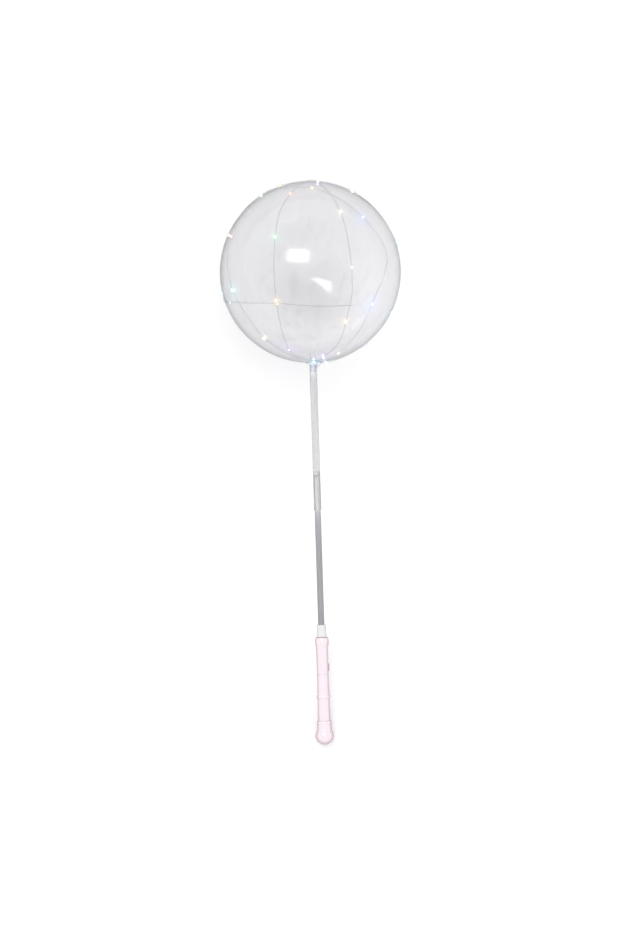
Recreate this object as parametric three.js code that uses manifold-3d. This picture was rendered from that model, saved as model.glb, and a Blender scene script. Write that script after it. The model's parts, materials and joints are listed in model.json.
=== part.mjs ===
// A clear bubble balloon on a two-part stick with a pink battery handle, wound with a string of LED lights.
// Millimetres. The wand is built along +Y, which runs up the stick from the handle to the balloon, with the
// balloon's centre at zero, and +Z is its front. It is then laid down, resting on the balloon and on the
// handle's round end.
import * as THREE from "three";
import { mergeVertices } from "three/addons/utils/BufferGeometryUtils.js";
import Module from "manifold-3d";

const wasm = await Module();
wasm.setup();

// The room left between two pieces that touch
const GAP = 0.35;

// Balloon
const BALLOON_RADIUS = 166.5;
const FLAT_SPOT_RADIUS = 30;
const NECK_RADIUS = 2.4;
const NECK_END = -181;

// Cup under the balloon, plugged into the stick
const CUP_RADIUS = 13.2;
const CUP_RIM = 1.1;
const CUP_BORE = 3.1;

// Stick: two clear tubes, the thinner one pushed up into the other
const TUBE_TOP = -171.2;
const UPPER_TUBE = { outer: 6.7, inner: 6.0, top: TUBE_TOP, bottom: -437.7 };
const LOWER_TUBE = { outer: 5.65, inner: 4.85, top: -373, bottom: -664 };
const STOP_HEIGHT = 6.5;

// Handle, from its collar down to its round end; each piece has a spigot that goes into the next
const COLLAR_TOP = -649.5;
const GRIP_TOP = -672;
const GRIP_RADIUS = 10.7;
const GRIP_JOINT = -740.5;
const CAP_JOINT = -826;
const BULB_CENTRE = -854;
const BULB_RADIUS = 16.8;
const HANDLE_END = -870.6;
const COLLAR_SPIGOT = { radius: 7.0, length: 5.5 };
const JOINT_SPIGOT = { radius: 7.9, length: 3 };
const CAP_SPIGOT = { radius: 8.9, length: 5.5 };
const BUTTON = { centre: -727.5, length: 13.5, width: 7.4, top: 12.3, pocket: 5.4, travel: 1.2 };

// String of lights. The wire lies on the film, and rises where a bead or another wire is under it.
const WIRE_RADIUS = 0.6;
const WIRE_STEP = 24;
const WIRE_HEIGHT = 1.25;
const WIRE_HEIGHT_RAISED = 2.6;
const BEAD = { bore: 1.1, radius: 2.2, halfLength: 2.8 };
const CROSSING_HALF = 2;
const WAIST_RADIUS = UPPER_TUBE.outer + GAP + WIRE_RADIUS;
const WAIST_LEVEL = -173.9;
const LEAD_HOLE = 1.7;
const LEAD_SIDE = 40;
const LEAD_SLOT = 2.4;

// The wand lies on the balloon's flat spot and the round end of the handle
const LYING_HEIGHT = Math.sqrt(BALLOON_RADIUS ** 2 - FLAT_SPOT_RADIUS ** 2);
const BULB_HEIGHT = BULB_RADIUS - 0.3;
const LYING_ANGLE = Math.asin((LYING_HEIGHT - BULB_HEIGHT) / -BULB_CENTRE);

const clearFilm = new THREE.MeshStandardMaterial({
  color: 0xe9e9f0,
  roughness: 0.05,
  transparent: true,
  opacity: 0.3,
});
const clearTube = new THREE.MeshStandardMaterial({
  color: 0xc9cacd,
  roughness: 0.2,
  transparent: true,
  opacity: 0.5,
});
const whitePlastic = new THREE.MeshStandardMaterial({ color: 0xf6f4f5, roughness: 0.3 });
const pinkPlastic = new THREE.MeshStandardMaterial({ color: 0xffdcea, roughness: 0.15 });
const buttonPlastic = new THREE.MeshStandardMaterial({ color: 0xd9a9bb, roughness: 0.3 });
const greyRubber = new THREE.MeshStandardMaterial({ color: 0x9a9a9c, roughness: 0.6 });
const silverWire = new THREE.MeshStandardMaterial({ color: 0x8d8f92, roughness: 0.4, metalness: 0.6 });

// The lamp colours, each the colour of its bead
const LAMP = {
  warm: 0xfff3c4,
  amber: 0xffd27a,
  red: 0xff8a7a,
  green: 0x8dfcb4,
  cyan: 0x8ff2f2,
  blue: 0x9db4ff,
  violet: 0xcdb0ff,
};
const beadResin = Object.fromEntries(
  Object.entries(LAMP).map(([colour, value]) => [
    colour,
    new THREE.MeshStandardMaterial({ color: value, emissive: value, roughness: 0.1 }),
  ]),
);

// The stops of each wire run: latitude and longitude on the balloon in degrees. The cup is at latitude -90,
// and longitude 0 is the front. A latitude over 90 has gone over the top and down the other side. A third
// value is the colour of the bead there, or OVER where the wire passes over one laid before.
const OVER = "over";
const FIRST_LOOP = [
  [-84.5, 30],
  [-79, 22],
  [-71.2, 20, "violet"],
  [-60.5, 28],
  [-48.5, 28.6],
  [-37, 26.7, "amber"],
  [-18, 27.1],
  [-2.3, 25.8, "warm"],
  [14, 25],
  [34.6, 24.4, "warm"],
  [52, 23],
  [71, 19.8, "violet"],
  [93, 45],
  [113.9, 28.8, "red"],
  [130, 29],
  [151.2, 26, "green"],
  [172, 24.6],
  [193.3, 23.9, "amber"],
  [214, 24.6],
  [234.3, 26.6, "violet"],
  [250, 27],
  [264.5, 28],
];
const SECOND_LOOP = [
  [-84.5, 8],
  [-80, 2.6, "cyan"],
  [-73, -24],
  [-63.5, -40],
  [-47, -49.6, "warm"],
  [-30, -53],
  [-12.1, -59.1, "cyan"],
  [7, -64.6],
  [23.4, -69.9, "red"],
  [40.5, -73.6],
  [58.2, -77.3, "green"],
  [70.2, -100.9],
  [75.6, -150, OVER],
  [73.6, 170.3, "amber"],
  [60, 140],
  [39.7, 127.7, "blue"],
  [25, 120.5],
  [12.1, 117.5],
  [-1.6, 124.8, "warm"],
  [-10.2, 130],
  [-18.7, 133.5, "blue"],
  [-39.7, 137.5],
  [-61.1, 143.8, "warm"],
  [-74, 146],
  [-84.5, 141],
];
const LAST_RUN = [
  [-84.6, 97],
  [-81.8, 103, "blue"],
  [-68.5, 108],
  [-53.8, 104.5, "violet"],
  [-26.8, 101, "cyan"],
  [-4.1, 97.3],
  [17.7, 94.2, "cyan"],
  [40.5, 90.4],
  [60.5, 80, "warm"],
  [74.8, 60],
  [80.8, 16.6, OVER],
  [79, -46.1],
  [72.3, -76.2, "amber"],
  [64.4, -85.1, OVER],
  [48.3, -92.8],
  [32, -96.2, "green"],
  [10.7, -100.3],
  [-10.3, -101, "cyan"],
  [-17.5, -83.8],
  [-19.1, -67.3, "cyan"],
  [-20.4, -55.6, OVER],
  [-21.9, -39.8],
  [-23.3, -23, "amber"],
  [-25.4, -5],
  [-26.3, 11],
  [-25.5, 27, OVER],
  [-25.3, 29.5],
];

// The lead from the handle, inside the tubes: sideways, along the stick, and towards the front
const LEAD = [
  [0, -675, 0],
  [0, -662, 0],
  [2.4, -600, 1.5],
  [-2, -510, 2.2],
  [1.6, -430, -1.8],
  [0, -381, 0],
  [0, -362, 0],
  [-3, -310, 1.5],
  [2.4, -250, 2.8],
];

const radians = THREE.MathUtils.degToRad;

// A point at a longitude, a level along the stick and a distance from its axis
function roundStick(longitude, level, radius) {
  const lon = radians(longitude);
  return new THREE.Vector3(radius * Math.sin(lon), level, radius * Math.cos(lon));
}

function onBalloon(latitude, longitude) {
  const lat = radians(latitude);
  return roundStick(longitude, BALLOON_RADIUS * Math.sin(lat), BALLOON_RADIUS * Math.cos(lat));
}

// Booleans

function solidOf(geometry) {
  const bare = geometry.clone();
  bare.deleteAttribute("normal");
  bare.deleteAttribute("uv");
  const merged = mergeVertices(bare, 1e-4);
  const corners = merged.index.array;
  const triangles = [];
  for (let i = 0; i < corners.length; i += 3) {
    const [a, b, c] = [corners[i], corners[i + 1], corners[i + 2]];
    if (a !== b && b !== c && c !== a) triangles.push(a, b, c);
  }
  return new wasm.Manifold(
    new wasm.Mesh({
      numProp: 3,
      vertProperties: new Float32Array(merged.attributes.position.array),
      triVerts: new Uint32Array(triangles),
    }),
  );
}

function geometryOf(solid) {
  const { vertProperties, triVerts } = solid.getMesh();
  const geometry = new THREE.BufferGeometry();
  geometry.setAttribute("position", new THREE.BufferAttribute(new Float32Array(vertProperties), 3));
  geometry.setIndex([...triVerts]);
  geometry.computeVertexNormals();
  return geometry;
}

// A turned piece: its outline is [radius, level] points, from low to high on the outside
function turned(outline, segments = 22) {
  return new THREE.LatheGeometry(
    outline.map(([radius, level]) => new THREE.Vector2(radius, level)),
    segments,
  );
}

// An arc of outline points about [radius, level], between two angles in degrees from straight outwards
function arc([radius, level], [across, along], from, to, steps) {
  return Array.from({ length: steps + 1 }, (_, i) => {
    const angle = radians(from + ((to - from) * i) / steps);
    return [radius + across * Math.cos(angle), level + along * Math.sin(angle)];
  });
}

// Everything under the floor, in the wand's upright frame
function underFloor() {
  const depth = 200;
  const slab = new THREE.BoxGeometry(800, 2400, depth);
  slab.translate(0, 0, -depth / 2 - LYING_HEIGHT);
  slab.rotateX(-LYING_ANGLE);
  return solidOf(slab);
}

function balloonGeometry() {
  const ball = new THREE.SphereGeometry(BALLOON_RADIUS, 44, 24);
  const neckTop = -BALLOON_RADIUS + 2;
  const neck = turned(
    [
      [0, NECK_END],
      [NECK_RADIUS * 0.7, NECK_END],
      [NECK_RADIUS, NECK_END + 1],
      [NECK_RADIUS, neckTop],
      [0, neckTop],
    ],
    10,
  );
  return geometryOf(solidOf(ball).add(solidOf(neck)).subtract(underFloor()));
}

// The dish follows the balloon, and the plug below it goes down into the tube
function cupGeometry() {
  const dish = (radius) => -Math.sqrt(BALLOON_RADIUS ** 2 - radius ** 2) - GAP;
  const plug = UPPER_TUBE.inner - GAP;
  const seat = TUBE_TOP + GAP;
  const plugEnd = TUBE_TOP - 12.5;
  const hub = UPPER_TUBE.outer + 0.4;
  const cup = turned(
    [
      [CUP_BORE, plugEnd],
      [plug - 0.8, plugEnd],
      [plug, plugEnd + 1.2],
      [plug, seat],
      [hub, seat],
      [hub, seat + 0.9],
      [CUP_RADIUS - 0.5, dish(CUP_RADIUS) - CUP_RIM - 0.5],
      [CUP_RADIUS, dish(CUP_RADIUS) - CUP_RIM],
      [CUP_RADIUS - 0.2, dish(CUP_RADIUS)],
      [CUP_RADIUS - 4, dish(CUP_RADIUS - 4)],
      [CUP_BORE, dish(CUP_BORE)],
      [CUP_BORE, plugEnd],
    ],
    20,
  );
  const groove = new THREE.BoxGeometry(LEAD_SLOT, 14, 3);
  groove.translate(0, seat - 7, plug - 0.6);
  groove.rotateY(radians(LEAD_SIDE));
  return geometryOf(solidOf(cup).subtract(solidOf(groove)));
}

function tubeGeometry({ outer, inner, top, bottom }) {
  return turned(
    [
      [inner, bottom],
      [outer, bottom],
      [outer, top],
      [inner, top],
      [inner, bottom],
    ],
    20,
  );
}

// The upper tube has a notch in its top edge, where the lead comes out
function upperTubeGeometry() {
  const notch = new THREE.BoxGeometry(LEAD_SLOT, 8, 6);
  notch.translate(0, TUBE_TOP, UPPER_TUBE.outer);
  notch.rotateY(radians(LEAD_SIDE));
  return geometryOf(solidOf(tubeGeometry(UPPER_TUBE)).subtract(solidOf(notch)));
}

// The stop caps the lower tube's upper end and centres it in the upper tube
function stopGeometry() {
  const seat = LOWER_TUBE.top + GAP;
  const spigot = { radius: LOWER_TUBE.inner - GAP, end: seat - 5 };
  return turned(
    [
      [LEAD_HOLE, spigot.end],
      [spigot.radius, spigot.end],
      [spigot.radius, seat],
      [LOWER_TUBE.outer, seat],
      [LOWER_TUBE.outer, seat + STOP_HEIGHT],
      [LEAD_HOLE, seat + STOP_HEIGHT],
      [LEAD_HOLE, spigot.end],
    ],
    16,
  );
}

// The white collar holds the lower tube in a blind socket, with a hole in its floor for the lead
function collarGeometry() {
  const socket = LOWER_TUBE.outer + GAP;
  const floor = LOWER_TUBE.bottom - GAP;
  const foot = GRIP_TOP + GAP;
  const spigotEnd = GRIP_TOP - COLLAR_SPIGOT.length;
  return turned(
    [
      [LEAD_HOLE, spigotEnd],
      [COLLAR_SPIGOT.radius, spigotEnd],
      [COLLAR_SPIGOT.radius, foot],
      [9.2, foot],
      [9.2, foot + 3],
      [8.5, foot + 6],
      [8.1, COLLAR_TOP - 1.4],
      [7.6, COLLAR_TOP],
      [socket, COLLAR_TOP],
      [socket, floor],
      [LEAD_HOLE, floor],
      [LEAD_HOLE, spigotEnd],
    ],
    20,
  );
}

// A stadium outline in the plane of the stick, pushed out sideways from one radius to another
function pill(length, width, from, to) {
  const half = (length - width) / 2;
  const outline = new THREE.Shape();
  outline.absarc(0, half, width / 2, 0, Math.PI);
  outline.absarc(0, -half, width / 2, Math.PI, 2 * Math.PI);
  const geometry = new THREE.ExtrudeGeometry(outline, {
    depth: to - from,
    bevelEnabled: false,
    curveSegments: 6,
  });
  geometry.translate(0, 0, from);
  geometry.rotateY(Math.PI / 2);
  geometry.translate(0, BUTTON.centre, 0);
  return geometry;
}

// Flared round the collar, with a pocket for the button, and open below for the barrel's spigot
function gripGeometry() {
  const socket = { radius: JOINT_SPIGOT.radius + GAP, top: GRIP_JOINT + JOINT_SPIGOT.length + GAP };
  const recess = { radius: COLLAR_SPIGOT.radius + GAP, floor: GRIP_TOP - COLLAR_SPIGOT.length - GAP };
  const body = turned([
    [0, socket.top],
    [socket.radius, socket.top],
    [socket.radius, GRIP_JOINT],
    [GRIP_RADIUS - 0.5, GRIP_JOINT],
    [GRIP_RADIUS, GRIP_JOINT + 0.9],
    [GRIP_RADIUS, GRIP_TOP - 24],
    [GRIP_RADIUS + 0.5, GRIP_TOP - 17],
    ...arc([GRIP_RADIUS + 0.3, GRIP_TOP - 8], [1.7, 7.2], -60, 90, 5),
    [recess.radius, GRIP_TOP - 0.8],
    [recess.radius, recess.floor],
    [0, recess.floor],
  ]);
  const mouth = BUTTON.top + 5;
  const pocket = pill(BUTTON.length + 2 * GAP, BUTTON.width + 2 * GAP, BUTTON.pocket, mouth);
  return geometryOf(solidOf(body).subtract(solidOf(pocket)));
}

// The push button: a pill with a lower step round its edge
function buttonGeometry() {
  const foot = BUTTON.pocket + BUTTON.travel + GAP;
  const step = 0.8;
  const body = pill(BUTTON.length, BUTTON.width, foot, BUTTON.top - step);
  const crown = pill(BUTTON.length - 2 * step, BUTTON.width - 2 * step, foot + step, BUTTON.top);
  return geometryOf(solidOf(body).add(solidOf(crown)));
}

// The lower half of the handle, a little wider towards the cap, with a rib round it
function barrelGeometry() {
  const top = GRIP_JOINT - GAP;
  const rib = -782;
  const socket = { radius: CAP_SPIGOT.radius + GAP, top: CAP_JOINT + CAP_SPIGOT.length + GAP };
  return turned([
    [0, socket.top],
    [socket.radius, socket.top],
    [socket.radius, CAP_JOINT],
    [11.4, CAP_JOINT],
    [11.6, CAP_JOINT + 1],
    [11.1, rib - 8],
    [11.1, rib - 3.4],
    ...arc([11.2, rib], [1.3, 2.8], -70, 70, 4),
    [11.0, rib + 3.4],
    [10.8, rib + 9],
    [GRIP_RADIUS, top - 1.6],
    [GRIP_RADIUS - 0.8, top],
    [JOINT_SPIGOT.radius, top],
    [JOINT_SPIGOT.radius, GRIP_JOINT + JOINT_SPIGOT.length],
    [0, GRIP_JOINT + JOINT_SPIGOT.length],
  ]);
}

// The screw cap with the round end, flat where it lies on the floor
function capGeometry() {
  const top = CAP_JOINT - GAP;
  const nub = 3.4;
  const cap = turned([
    [0, HANDLE_END],
    [nub - 0.5, HANDLE_END],
    [nub, HANDLE_END + 0.6],
    ...arc([0, BULB_CENTRE], [BULB_RADIUS, 15.8], -76, 34, 9),
    [13.2, top - 8],
    [13.0, top - 5.5],
    [13.5, top - 4.5],
    [13.5, top - 1.6],
    [12.6, top],
    [CAP_SPIGOT.radius, top],
    [CAP_SPIGOT.radius, CAP_JOINT + CAP_SPIGOT.length],
    [0, CAP_JOINT + CAP_SPIGOT.length],
  ]);
  return geometryOf(solidOf(cap).subtract(underFloor()));
}

// String of lights

// A path straight from point to point, with one step of the extrusion to each
class PointToPoint extends THREE.Curve {
  constructor(points) {
    super();
    this.points = points;
  }
  getPoint(t, target = new THREE.Vector3()) {
    const place = THREE.MathUtils.clamp(t, 0, 1) * (this.points.length - 1);
    const before = Math.min(Math.floor(place), this.points.length - 2);
    return target.lerpVectors(this.points[before], this.points[before + 1], place - before);
  }
  getUtoTmapping(u) {
    return u;
  }
}

// Lays one run of wire over the balloon: its points, and its beads with their places and directions
function layRun(stops) {
  const places = stops.map(([latitude, longitude]) => onBalloon(latitude, longitude));
  const guide = new THREE.CatmullRomCurve3(places, false, "centripetal");
  const divisions = 40;
  guide.arcLengthDivisions = divisions * (stops.length - 1);
  const lengths = guide.getLengths();
  const length = guide.getLength();
  const onFilm = (at, height) => {
    const place = guide.getPointAt(THREE.MathUtils.clamp(at / length, 0, 1));
    return place.setLength(BALLOON_RADIUS + height);
  };

  const points = [];
  const beads = [];
  let done = 0;
  const layTo = (at) => {
    const steps = Math.ceil((at - done) / WIRE_STEP);
    for (let step = done === 0 ? 0 : 1; step < steps; step++) {
      points.push(onFilm(done + ((at - done) * step) / steps, WIRE_HEIGHT));
    }
  };
  stops.forEach(([, , mark], i) => {
    if (!mark) return;
    const half = mark === OVER ? CROSSING_HALF : BEAD.halfLength + 1.4;
    const at = lengths[i * divisions];
    const from = onFilm(at - half, WIRE_HEIGHT_RAISED);
    const to = onFilm(at + half, WIRE_HEIGHT_RAISED);
    layTo(at - half);
    points.push(from, to);
    done = at + half;
    if (mark !== OVER) {
      const direction = to.clone().sub(from).normalize();
      beads.push({ colour: mark, centre: from.clone().lerp(to, 0.5), direction });
    }
  });
  layTo(length);
  points.push(onFilm(length, WIRE_HEIGHT));
  return { points, beads };
}

// A part turn of the wire round the stick, just under the cup
function waistTurn(from, to) {
  const steps = Math.max(1, Math.round(Math.abs(to - from) / 32));
  return Array.from({ length: steps + 1 }, (_, i) =>
    roundStick(from + ((to - from) * i) / steps, WAIST_LEVEL, WAIST_RADIUS + 0.25),
  );
}

// The whole string: up inside the stick, out through the notch, over the balloon and round the stick's neck
function layString() {
  const runs = [FIRST_LOOP, SECOND_LOOP, LAST_RUN].map(layRun);
  const leadRadius = UPPER_TUBE.inner - 1.55;
  const points = [
    ...LEAD.map((place) => new THREE.Vector3(...place)),
    roundStick(LEAD_SIDE, TUBE_TOP - 16, leadRadius - 0.4),
    roundStick(LEAD_SIDE, WAIST_LEVEL - 0.9, leadRadius),
    roundStick(LEAD_SIDE, WAIST_LEVEL, leadRadius + 0.7),
    roundStick(LEAD_SIDE, WAIST_LEVEL + 0.4, WAIST_RADIUS),
    ...runs[0].points,
    ...waistTurn(208, 368),
    ...runs[1].points,
    ...waistTurn(141, 97),
    ...runs[2].points,
  ];
  return { points, beads: runs.flatMap((run) => run.beads) };
}

function wireGeometry(points) {
  const corners = Array.from({ length: 5 }, (_, i) => {
    const angle = (i * 2 * Math.PI) / 5;
    return new THREE.Vector2(WIRE_RADIUS * Math.cos(angle), WIRE_RADIUS * Math.sin(angle));
  });
  return new THREE.ExtrudeGeometry(new THREE.Shape(corners), {
    steps: points.length - 1,
    extrudePath: new PointToPoint(points),
    bevelEnabled: false,
  });
}

// One bead of clear resin, threaded on the wire
function beadGeometry() {
  return turned(
    [
      [BEAD.bore, -BEAD.halfLength],
      [BEAD.radius * 0.66, -BEAD.halfLength],
      [BEAD.radius, 0],
      [BEAD.radius * 0.66, BEAD.halfLength],
      [BEAD.bore, BEAD.halfLength],
      [BEAD.bore, -BEAD.halfLength],
    ],
    6,
  );
}

// The wand, put together

function piece(name, geometry, material) {
  const mesh = new THREE.Mesh(geometry, material);
  mesh.name = name;
  return mesh;
}

const wand = new THREE.Group();
wand.add(
  piece("balloon", balloonGeometry(), clearFilm),
  piece("balloon_cup", cupGeometry(), whitePlastic),
  piece("upper_tube", upperTubeGeometry(), clearTube),
  piece("tube_stop", stopGeometry(), greyRubber),
  piece("lower_tube", tubeGeometry(LOWER_TUBE), clearTube),
  piece("handle_collar", collarGeometry(), whitePlastic),
  piece("handle_grip", gripGeometry(), pinkPlastic),
  piece("push_button", buttonGeometry(), buttonPlastic),
  piece("battery_barrel", barrelGeometry(), pinkPlastic),
  piece("end_cap", capGeometry(), pinkPlastic),
);

const string = layString();
wand.add(piece("light_string", wireGeometry(string.points), silverWire));
string.beads.forEach(({ colour, centre, direction }, i) => {
  const number = String(i + 1).padStart(2, "0");
  const bead = piece(`led_bead_${number}_${colour}`, beadGeometry(), beadResin[colour]);
  bead.position.copy(centre);
  bead.quaternion.setFromUnitVectors(new THREE.Vector3(0, 1, 0), direction);
  wand.add(bead);
});

// Laid down, with the origin under the middle of the whole part
wand.rotation.x = LYING_ANGLE;
wand.position.z = LYING_HEIGHT;
const part = new THREE.Group();
part.add(wand);
part.updateMatrixWorld(true);
const middle = new THREE.Box3().setFromObject(part, true).getCenter(new THREE.Vector3());
wand.position.x = -middle.x;
wand.position.y = -middle.y;

export default part;
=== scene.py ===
# A clear bubble balloon on a lit wand, lying on a pale floor.
# Sizes are millimetres in the wand's own frame: +Y runs up the stick from the handle to the balloon, with the
# balloon's centre at zero, and +Z is the front. in_place() turns them into the model's metres.
import json
import math

import bpy
from mathutils import Matrix, Vector


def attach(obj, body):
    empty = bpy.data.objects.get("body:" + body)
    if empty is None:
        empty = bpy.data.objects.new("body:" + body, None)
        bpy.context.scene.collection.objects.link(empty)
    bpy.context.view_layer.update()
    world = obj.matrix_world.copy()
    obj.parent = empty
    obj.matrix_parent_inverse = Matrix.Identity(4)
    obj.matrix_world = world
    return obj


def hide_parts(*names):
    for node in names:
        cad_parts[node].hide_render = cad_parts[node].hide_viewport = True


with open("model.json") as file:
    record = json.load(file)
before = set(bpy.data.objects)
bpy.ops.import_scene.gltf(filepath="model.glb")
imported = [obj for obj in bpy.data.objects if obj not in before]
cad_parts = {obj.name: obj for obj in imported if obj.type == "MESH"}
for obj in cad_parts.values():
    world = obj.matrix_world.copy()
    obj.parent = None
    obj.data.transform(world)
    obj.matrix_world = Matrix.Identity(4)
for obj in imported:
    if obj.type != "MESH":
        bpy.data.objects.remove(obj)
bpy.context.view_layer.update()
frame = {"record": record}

MM = 0.001
GAP = 0.35
SEAM = 0.12

# Balloon and cup
BALLOON_RADIUS = 166.5
FLAT_SPOT_RADIUS = 30
FILM_WALL = 0.3
FILM_ROWS = 132
FILM_SIDES = 168
FILM_END_LATITUDE = -88.95
PLEATS = 22
PLEAT_DEPTH = 0.85
PLEAT_RING = 17
PLEAT_SPREAD = 13
NECK_ROWS = 10
NECK_PLEAT_DEPTH = 0.25
SHALLOW_PLEAT = 0.3
SHALLOW_PINCH = 0.4
FLAT_SPOT_EASE = 1.2
NECK_RADIUS = 2.4
NECK_END = -181
CUP_RADIUS = 13.2
CUP_RIM = 1.1
CUP_BORE = 3.1

# Stick
TUBE_TOP = -171.2
UPPER_TUBE = dict(outer=6.7, inner=6.0, top=TUBE_TOP, bottom=-437.7)
LOWER_TUBE = dict(outer=5.65, inner=4.85, top=-373, bottom=-664)
STOP_HEIGHT = 6.5

# Handle
COLLAR_TOP = -649.5
GRIP_TOP = -672
GRIP_RADIUS = 10.7
GRIP_JOINT = -740.5
RIB_LEVEL = -782
CAP_JOINT = -826
BULB_CENTRE = -854
BULB_RADIUS = 16.8
HANDLE_END = -870.6
COLLAR_SPIGOT = dict(radius=7.0, length=5.5)
JOINT_SPIGOT = dict(radius=7.9, length=3)
CAP_SPIGOT = dict(radius=8.9, length=5.5)
BUTTON = dict(centre=-727.5, length=13.5, width=7.4, top=12.3, pocket=5.4, travel=1.2)

# String of lights: two thin strands twisted round each other
STRAND_RADIUS = 0.27
TWIST_RADIUS = 0.27
TWIST_PITCH = 7.0
WIRE_HEIGHT = 0.95
WIRE_HEIGHT_RAISED = 2.6
WIRE_RISE = 9
LAMP_HALF = 2.8
LAMP_RADIUS = 1.8
CROSSING_HALF = 2
WAIST_RADIUS = 7.65
WAIST_LEVEL = -173.9
LEAD_HOLE = 1.7
LEAD_SIDE = 40
LEAD_SLOT = 2.4

# The photograph's frame, and where the camera stands before the wand
PHOTO_HEIGHT = 931
MM_PER_PIXEL = 1.842
CAMERA_DISTANCE = 4000
AIM = (-10.7, -355.5, 0)
ROLL = 1.78
FILM_BACK = 36

# The wand lies on the balloon's flat spot and the round end of the handle
LYING_HEIGHT = math.sqrt(BALLOON_RADIUS**2 - FLAT_SPOT_RADIUS**2)
LYING_ANGLE = math.asin((LYING_HEIGHT - BULB_RADIUS + 0.3) / -BULB_CENTRE)
rest = frame["record"]["mounts"][0]["pos_m"]
WAND = Matrix.Translation((rest[0], rest[1], LYING_HEIGHT * MM)) @ Matrix.Rotation(LYING_ANGLE, 4, "X")

# The lamps' light, how far and how strongly it shows on the film, and the lamps that are between flashes
LAMP_LIGHT = {
    "warm": (1.0, 0.88, 0.58),
    "amber": (1.0, 0.74, 0.34),
    "red": (1.0, 0.4, 0.3),
    "green": (0.4, 1.0, 0.58),
    "cyan": (0.42, 0.94, 1.0),
    "blue": (0.42, 0.54, 1.0),
    "violet": (0.7, 0.5, 1.0),
}
GLOW = {
    "warm": (0.02, 0.22),
    "amber": (0.02, 0.25),
    "red": (0.026, 0.2),
    "green": (0.024, 0.22),
    "cyan": (0.036, 0.24),
    "blue": (0.042, 0.24),
    "violet": (0.042, 0.22),
}
RESTING_LAMPS = (3, 17, 21, 23, 25, 26, 28, 29)

# The stops of each wire run, as in the model: latitude and longitude on the balloon in degrees. The cup is at
# latitude -90, and longitude 0 is the front. A third value is a lamp's colour, or OVER at a crossing.
OVER = "over"
FIRST_LOOP = [
    (-84.5, 30),
    (-79, 22),
    (-71.2, 20, "violet"),
    (-60.5, 28),
    (-48.5, 28.6),
    (-37, 26.7, "amber"),
    (-18, 27.1),
    (-2.3, 25.8, "warm"),
    (14, 25),
    (34.6, 24.4, "warm"),
    (52, 23),
    (71, 19.8, "violet"),
    (93, 45),
    (113.9, 28.8, "red"),
    (130, 29),
    (151.2, 26, "green"),
    (172, 24.6),
    (193.3, 23.9, "amber"),
    (214, 24.6),
    (234.3, 26.6, "violet"),
    (250, 27),
    (264.5, 28),
]
SECOND_LOOP = [
    (-84.5, 8),
    (-80, 2.6, "cyan"),
    (-73, -24),
    (-63.5, -40),
    (-47, -49.6, "warm"),
    (-30, -53),
    (-12.1, -59.1, "cyan"),
    (7, -64.6),
    (23.4, -69.9, "red"),
    (40.5, -73.6),
    (58.2, -77.3, "green"),
    (70.2, -100.9),
    (75.6, -150, OVER),
    (73.6, 170.3, "amber"),
    (60, 140),
    (39.7, 127.7, "blue"),
    (25, 120.5),
    (12.1, 117.5),
    (-1.6, 124.8, "warm"),
    (-10.2, 130),
    (-18.7, 133.5, "blue"),
    (-39.7, 137.5),
    (-61.1, 143.8, "warm"),
    (-74, 146),
    (-84.5, 141),
]
LAST_RUN = [
    (-84.6, 97),
    (-81.8, 103, "blue"),
    (-68.5, 108),
    (-53.8, 104.5, "violet"),
    (-26.8, 101, "cyan"),
    (-4.1, 97.3),
    (17.7, 94.2, "cyan"),
    (40.5, 90.4),
    (60.5, 80, "warm"),
    (74.8, 60),
    (80.8, 16.6, OVER),
    (79, -46.1),
    (72.3, -76.2, "amber"),
    (64.4, -85.1, OVER),
    (48.3, -92.8),
    (32, -96.2, "green"),
    (10.7, -100.3),
    (-10.3, -101, "cyan"),
    (-17.5, -83.8),
    (-19.1, -67.3, "cyan"),
    (-20.4, -55.6, OVER),
    (-21.9, -39.8),
    (-23.3, -23, "amber"),
    (-25.4, -5),
    (-26.3, 11),
    (-25.5, 27, OVER),
    (-25.3, 29.5),
]

# The lead inside the tubes: sideways, along the stick, and towards the front
LEAD = [
    (0, -675, 0),
    (0, -662, 0),
    (2.4, -600, 1.5),
    (-2, -510, 2.2),
    (1.6, -430, -1.8),
    (0, -381, 0),
    (0, -362, 0),
    (-3, -310, 1.5),
    (2.4, -250, 2.8),
]


# Camera

def in_place(point):
    """A point of the wand as a place in the model, in metres."""
    return WAND @ (Vector(point) * MM)


def set_camera():
    """The photograph's view: square on to the stick, which leans a little to the left."""
    lens = bpy.data.cameras.new("camera")
    lens.lens = FILM_BACK * CAMERA_DISTANCE / (PHOTO_HEIGHT * MM_PER_PIXEL)
    lens.sensor_width = FILM_BACK
    lens.clip_end = 100
    camera = bpy.data.objects.new("camera", lens)
    bpy.context.scene.collection.objects.link(camera)
    stand = in_place((AIM[0], AIM[1], CAMERA_DISTANCE))
    turn = WAND.to_3x3() @ Matrix.Rotation(math.radians(-ROLL), 3, "Z")
    camera.matrix_world = Matrix.Translation(stand) @ turn.to_4x4()
    bpy.context.scene.camera = camera


# Shader nodes

def add(tree, kind, inputs=None, **settings):
    """A node with its settings; each input is a plain value, or a socket to link from."""
    made = tree.nodes.new(kind)
    for setting, value in settings.items():
        setattr(made, setting, value)
    for key, value in (inputs or {}).items():
        if isinstance(value, bpy.types.NodeSocket):
            tree.links.new(value, made.inputs[key])
        else:
            made.inputs[key].default_value = value
    return made


def blend(tree, share, first, second):
    """The first colour, with this share of the second."""
    colours = {"Factor": share, "A": first, "B": second}
    return add(tree, "ShaderNodeMix", colours, data_type="RGBA").outputs["Result"]


def ranged(tree, value, low, high, start=0.0, end=1.0, **settings):
    """A value between low and high, carried over to one between start and end and held at them."""
    limits = {"Value": value, "From Min": low, "From Max": high, "To Min": start, "To Max": end}
    return add(tree, "ShaderNodeMapRange", limits, **settings).outputs["Result"]


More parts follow.
